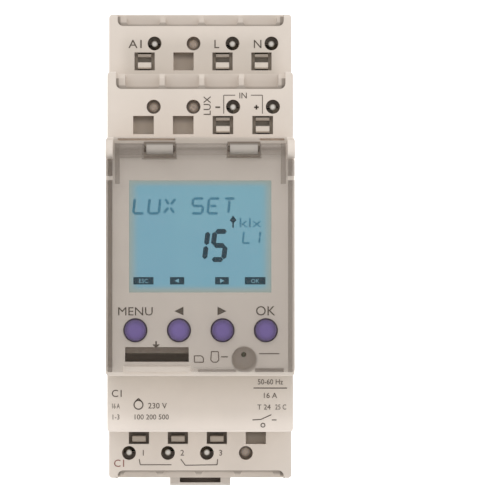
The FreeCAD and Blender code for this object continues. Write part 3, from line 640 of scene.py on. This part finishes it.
class Print:
    """Collects flat shapes on a face that looks along -Y, and makes one mesh of them."""

    def __init__(self, name, body, slot, material, y):
        self.name, self.body, self.slot, self.material, self.y = name, body, slot, material, y
        self.mesh = bmesh.new()

    def polygon(self, points):
        """A thin plate with the given (x, z) outline, in millimetres."""
        back = [self.mesh.verts.new((x * MM, self.y - PRINT_LIFT, z * MM)) for x, z in points]
        face = [self.mesh.verts.new((x * MM, self.y - PRINT_LIFT - PRINT_THICK, z * MM)) for x, z in points]
        count = len(points)
        self.mesh.faces.new(face)
        self.mesh.faces.new(back[::-1])
        for i in range(count):
            j = (i + 1) % count
            self.mesh.faces.new((face[i], back[i], back[j], face[j]))

    def bar(self, start, end, width):
        """A straight stroke between two points."""
        a, b = Vector(start), Vector(end)
        side = (b - a).normalized().orthogonal() * width / 2
        self.polygon([tuple(a + side), tuple(a - side), tuple(b - side), tuple(b + side)])

    def line(self, points, width):
        for start, end in zip(points, points[1:]):
            self.bar(start, end, width)

    def ring(self, x, z, radius, width, count=28):
        """A ring of short strokes."""
        angles = [2 * math.pi * i / count for i in range(count + 1)]
        self.line([(x + radius * math.cos(angle), z + radius * math.sin(angle)) for angle in angles], width)

    def text(self, words, x, z, height, align="LEFT", turn=0.0, stretch=1.0):
        """Words whose capitals are height tall, from or around (x, z) on their base line."""
        curve = bpy.data.curves.new("words", "FONT")
        curve.body = words
        curve.size = 1.0
        curve.align_x = align
        curve.extrude = 0.5
        curve.resolution_u = 3
        holder = bpy.data.objects.new("words", curve)
        bpy.context.scene.collection.objects.link(holder)
        bpy.context.view_layer.update()
        flat = bpy.data.meshes.new_from_object(holder.evaluated_get(bpy.context.evaluated_depsgraph_get()))
        scale = height / CAPITAL_HEIGHT * MM
        upright = Matrix((
            (scale * stretch, 0, 0, 0),
            (0, 0, -PRINT_THICK, 0),
            (0, scale, 0, 0),
            (0, 0, 0, 1),
        ))
        place = Matrix.Translation((x * MM, self.y - PRINT_LIFT - PRINT_THICK / 2, z * MM))
        flat.transform(place @ Matrix.Rotation(math.radians(turn), 4, "Y") @ upright)
        self.mesh.from_mesh(flat)
        bpy.data.objects.remove(holder)
        bpy.data.meshes.remove(flat)
        bpy.data.curves.remove(curve)

    def finish(self):
        bmesh.ops.recalc_face_normals(self.mesh, faces=self.mesh.faces)
        piece = add_object(self.name, self.mesh, self.material)
        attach(piece, self.body)


# ---------------------------------------------------------------- printing on the nose, under the cover


def nose_legends():
    ink = Print("nose_legends", "housing", "black_plastic", INK, NOSE_Y)
    label_z = -11.1
    ink.text("MENU", -12.2, label_z, 1.55, "CENTER", stretch=1.1)
    ink.text("OK", 12.25, label_z, 1.75, "CENTER")
    for x, way in ((-3.9, -1), (4.0, 1)):
        tip, tail = x + way * 0.95, x - way * 0.75
        ink.polygon([(tip, label_z + 0.8), (tail, label_z + 1.65), (tail, label_z)])
    ink.polygon([(-8.3, -17.3), (-9.0, -16.55), (-7.6, -16.55)])
    ink.bar((-8.3, -16.6), (-8.3, -15.95), 0.3)
    ink.finish()
    # Painted shade: a grey sheet over the shaded chamfer above the card slot.
    lip_shade = Print("card_slot_lip_shade", "housing", "black_plastic", SLOT_LIP_SHADE, NOSE_Y + 1.2 * MM)
    lip_shade.polygon([(-14.1, -18.25), (-2.2, -18.25), (-2.2, -17.1), (-14.1, -17.1)])
    lip_shade.finish()
    soft = Print("nose_symbols", "housing", "black_plastic", INK_SOFT, NOSE_Y)
    soft.bar((11.1, -18.3), (14.9, -18.3), 0.22)
    card = [(-1.1, -18.7), (0.2, -18.7), (0.6, -19.1), (0.6, -19.9), (-1.1, -19.9), (-1.1, -18.7)]
    tag = [(2.1, -17.9), (3.4, -17.9), (3.5, -19.5), (3.1, -19.9), (2.4, -19.9), (2.0, -19.5), (2.1, -17.9)]
    soft.line(card, 0.2)
    soft.line(tag, 0.2)
    soft.bar((3.9, -18.9), (5.2, -18.9), 0.22)
    soft.finish()


# ---------------------------------------------------------------- display content

# Each glyph's strokes, from and to, in a box 1 wide and 1 high.
LETTERS = {
    "L": [((0, 1), (0, 0)), ((0, 0), (1, 0))],
    "U": [((0, 1), (0, 0)), ((0, 0), (1, 0)), ((1, 0), (1, 1))],
    "X": [((0, 1), (0.42, 0.58)), ((0.58, 0.42), (1, 0)), ((0, 0), (0.42, 0.42)), ((0.58, 0.58), (1, 1))],
    "S": [((1, 1), (0, 1)), ((0, 1), (0, 0.5)), ((0, 0.5), (1, 0.5)), ((1, 0.5), (1, 0)), ((1, 0), (0, 0))],
    "E": [((1, 1), (0, 1)), ((0, 1), (0, 0)), ((0, 0), (1, 0)), ((0.14, 0.5), (0.8, 0.5))],
    "T": [((0, 1), (1, 1)), ((0.5, 0.9), (0.5, 0))],
    "1": [((1, 1), (1, 0.5)), ((1, 0.5), (1, 0))],
    "5": [((1, 1), (0, 1)), ((0, 1), (0, 0.5)), ((0, 0.5), (1, 0.5)), ((1, 0.5), (1, 0)), ((1, 0), (0, 0))],
}


def segments(ink, glyph, x, z, width, height, stroke, slant=0.12):
    """A segment glyph from its lower left corner, with small gaps between its strokes."""
    for start, end in LETTERS[glyph]:
        a = Vector((x + start[0] * width + start[1] * height * slant, z + start[1] * height))
        b = Vector((x + end[0] * width + end[1] * height * slant, z + end[1] * height))
        gap = (b - a).normalized() * stroke * 0.06
        tip = (b - a).normalized() * stroke * 0.4
        side = (b - a).normalized().orthogonal() * stroke / 2
        a, b = a + gap, b - gap
        stroke_outline = (a, a + tip - side, b - tip - side, b, b - tip + side, a + tip + side)
        ink.polygon([tuple(point) for point in stroke_outline])


def display_segments():
    front = GLASS_LO[1]
    faint = Print("lcd_text", "housing", "black_plastic", LCD_FAINT, front)
    for glyph, x in (("L", -12.6), ("U", -9.8), ("X", -6.9), ("S", -1.6), ("E", 1.4), ("T", 4.3)):
        segments(faint, glyph, x, 8.1, 2.0, 2.8, 0.5, 0.1)
    segments(faint, "L", 8.0, 2.5, 1.4, 2.2, 0.38)
    segments(faint, "1", 9.8, 2.5, 1.3, 2.2, 0.38)
    faint.text("klx", 7.2, 5.5, 1.75, stretch=1.45)
    faint.finish()
    dark = Print("lcd_digits", "housing", "black_plastic", LCD_DARK, front)
    segments(dark, "1", -1.5, -0.6, 2.3, 5.3, 0.95, 0.13)
    segments(dark, "5", 2.1, -0.6, 2.3, 5.3, 0.95, 0.13)
    dark.polygon([(6.2, 7.7), (5.55, 6.8), (6.2, 6.2), (6.85, 6.8)])
    dark.bar((6.2, 6.4), (6.2, 5.4), 0.3)
    for low, high in ((-12.6, -8.8), (-5.7, -3.0), (2.8, 5.4), (8.4, 12.3)):
        dark.polygon([(low, -5.3), (high, -5.3), (high, -3.9), (low, -3.9)])
    dark.finish()
    light = Print("lcd_key_marks", "housing", "lcd", MATERIALS["lcd"], front - PRINT_LIFT - PRINT_THICK)
    light.text("ESC", -10.7, -5.0, 0.75, "CENTER")
    light.text("OK", 10.35, -5.0, 0.75, "CENTER")
    for x, way in ((-4.35, -1), (4.1, 1)):
        light.polygon([(x + way * 0.45, -4.6), (x - way * 0.35, -4.2), (x - way * 0.35, -5.0)])
    light.finish()


# ---------------------------------------------------------------- printing on the terminal rows


def outer_row_legends():
    ink = Print("outer_row_legends", "housing", "black_plastic", INK, DECK_Y)
    ink.text("A1", -14.0, 40.6, 1.6, stretch=1.15)
    ink.text("L", 2.6, 40.6, 1.6)
    ink.text("N", 10.3, 40.6, 1.6)
    for x, word in ((-11.5, "1"), (-3.9, "2"), (3.6, "3")):
        ink.text(word, x, -38.9, 1.1)
    ink.line([(-11.9, -39.6), (-11.7, -40.7), (-5.6, -40.7)], 0.16)
    ink.line([(-3.8, -39.6), (-2.9, -40.8), (3.3, -40.7), (3.4, -39.6)], 0.16)
    ink.finish()
    red = Print("output_mark", "housing", "black_plastic", INK_RED, DECK_Y)
    red.text("C1", -16.9, -41.1, 1.4)
    red.finish()


def shoulder_legends():
    ink = Print("shoulder_legends", "housing", "black_plastic", INK, SHOULDER_Y)
    ink.bar((2.9, 28.5), (3.8, 28.5), 0.3)
    ink.bar((10.3, 28.5), (11.2, 28.5), 0.3)
    ink.bar((10.75, 28.05), (10.75, 28.95), 0.3)
    ink.line([(4.5, 27.3), (4.5, 30.8), (6.7, 30.8)], 0.14)
    ink.line([(9.7, 30.8), (11.9, 30.8), (11.9, 27.3)], 0.14)
    ink.text("IN", 8.2, 30.2, 1.1, "CENTER")
    ink.text("LUX", 2.0, 26.9, 1.35, turn=-90)
    ink.text("C1", -17.0, -26.9, 1.35)
    ink.text("16 A", -17.0, -29.1, 0.95, stretch=0.6)
    ink.ring(-11.8, -28.4, 0.85, 0.22)
    ink.line([(-12.4, -27.8), (-11.8, -27.2), (-11.2, -27.8)], 0.22)
    ink.text("230 V", -10.0, -29.1, 1.05)
    ink.text("1-3", -17.0, -31.2, 0.95, stretch=0.9)
    ink.text("100 200 500", -12.8, -31.2, 0.95, stretch=0.98)
    ink.text("50-60 Hz", 13.4, -24.5, 1.0, "CENTER", stretch=0.9)
    ink.bar((10.2, -25.2), (16.6, -25.2), 0.2)
    ink.text("16 A", 13.3, -27.1, 1.0, "CENTER")
    ink.text("T 24", 12.2, -29.3, 0.95, "CENTER")
    ink.text("25 C", 15.4, -29.3, 0.95, "CENTER", stretch=0.8)
    ink.line([(10.0, -31.3), (11.6, -31.2), (13.6, -30.3)], 0.18)
    ink.bar((13.7, -31.3), (14.6, -31.3), 0.18)
    ink.ring(12.0, -32.3, 0.38, 0.18, 14)
    ink.finish()


# ---------------------------------------------------------------- the latch's return spring

SPRING_TURNS = 8
WIRE_R = 0.2 * MM


def latch_spring():
    """The coil between the case and the latch, which in the real thing shortens when the latch is pulled
    down; here it is a rigid coil fixed to the housing.
    """
    low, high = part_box("latch_spring")
    middle = node_centre("latch_spring")
    radius = (high[0] - low[0]) / 2 - WIRE_R
    steps, sides = SPRING_TURNS * 24, 8
    coil = bmesh.new()
    sections = []
    for i in range(steps + 1):
        turn = 2 * math.pi * SPRING_TURNS * i / steps
        height = low[2] + WIRE_R + (high[2] - low[2] - 2 * WIRE_R) * i / steps
        outward = Vector((math.cos(turn), math.sin(turn), 0))
        centre = Vector((middle.x, middle.y, height)) + outward * radius
        section = []
        for k in range(sides):
            angle = 2 * math.pi * k / sides
            rim = outward * math.cos(angle) + Vector((0, 0, math.sin(angle)))
            section.append(coil.verts.new(centre + WIRE_R * rim))
        sections.append(section)
    for here, after in zip(sections, sections[1:]):
        for k in range(sides):
            coil.faces.new((here[k], here[(k + 1) % sides], after[(k + 1) % sides], after[k]))
    coil.faces.new(sections[0][::-1])
    coil.faces.new(sections[-1])
    bmesh.ops.recalc_face_normals(coil, faces=coil.faces)
    spring = add_object("latch_return_spring", coil, MATERIALS["spring_steel"])
    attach(spring, "housing")
    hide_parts("latch_spring")
    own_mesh(spring)


# ---------------------------------------------------------------- stage, lights and camera


FLOOR_DROP = 0.05             # the object hangs free, as it does on its rail


def make_stage():
    """One pale sheet that runs along the floor and up behind the object."""
    floor_z = LATCH_LO[2] - FLOOR_DROP
    curve_r, depth, height, half = 1.9, 2.8, 2.6, 4.0
    outline = [(-2.5, floor_z), (depth - curve_r, floor_z)]
    for i in range(1, 17):
        angle = math.pi / 2 * i / 16
        outline.append((depth - curve_r * (1 - math.sin(angle)), floor_z + curve_r * (1 - math.cos(angle))))
    outline.append((depth, floor_z + height))
    sheet = bmesh.new()
    rows = [[sheet.verts.new((x, y, z)) for x in (-half, half)] for y, z in outline]
    for (a, b), (c, d) in zip(rows, rows[1:]):
        sheet.faces.new((a, b, d, c)).smooth = True
    material, tree, shader = new_material("pale_floor")
    tone = ramp(tree, noise(tree, 3.0, 2.0), [(0.3, (0.92, 0.92, 0.915, 1)), (0.7, (0.95, 0.95, 0.945, 1))])
    tree.links.new(tone, shader.inputs["Base Color"])
    shader.inputs["Roughness"].default_value = 0.9
    floor = add_object("floor", sheet, material)


def area_light(name, place, target, size, power):
    lamp = bpy.data.lights.new(name, "AREA")
    lamp.shape = "RECTANGLE"
    lamp.size, lamp.size_y = size
    lamp.energy = power
    holder = bpy.data.objects.new(name, lamp)
    holder.location = place
    holder.rotation_euler = (Vector(target) - Vector(place)).to_track_quat("-Z", "Y").to_euler()
    bpy.context.scene.collection.objects.link(holder)


def make_lights():
    middle = (0, -0.03, 0)
    area_light("top", (-0.15, -0.85, 0.95), middle, (0.9, 0.5), 2.6)
    area_light("front", (0.25, -1.5, -0.3), middle, (1.4, 1.0), 4.6)
    area_light("backdrop", (0, 1.1, 1.1), (0, 2.2, 0.0), (1.8, 0.5), 26)
    world = bpy.data.worlds.new("studio")
    world.use_nodes = True
    background = world.node_tree.nodes["Background"]
    background.inputs["Color"].default_value = (1.0, 0.99, 0.98, 1)
    background.inputs["Strength"].default_value = 0.84
    bpy.context.scene.world = world
    bpy.context.scene.view_settings.view_transform = "Standard"


LENS = 307.4112               # mm
SENSOR = 36.0                 # mm
DISTANCE = 0.8                # from the cover's front
EYE_HEIGHT = 1.2 * MM         # above the frame's origin
SHIFT = 0.0996                # the object stands left of the frame's middle


def make_camera():
    camera = bpy.data.cameras.new("camera")
    camera.sensor_width = SENSOR
    camera.lens = LENS
    camera.shift_x = SHIFT
    camera.clip_start, camera.clip_end = 0.05, 20
    holder = bpy.data.objects.new("camera", camera)
    holder.location = (0, COVER_LO[1] - DISTANCE, EYE_HEIGHT)
    holder.rotation_euler = (math.pi / 2, 0, 0)
    bpy.context.scene.collection.objects.link(holder)
    bpy.context.scene.camera = holder


make_camera()
make_lights()
make_stage()
nose_legends()
display_segments()
outer_row_legends()
shoulder_legends()
latch_spring()
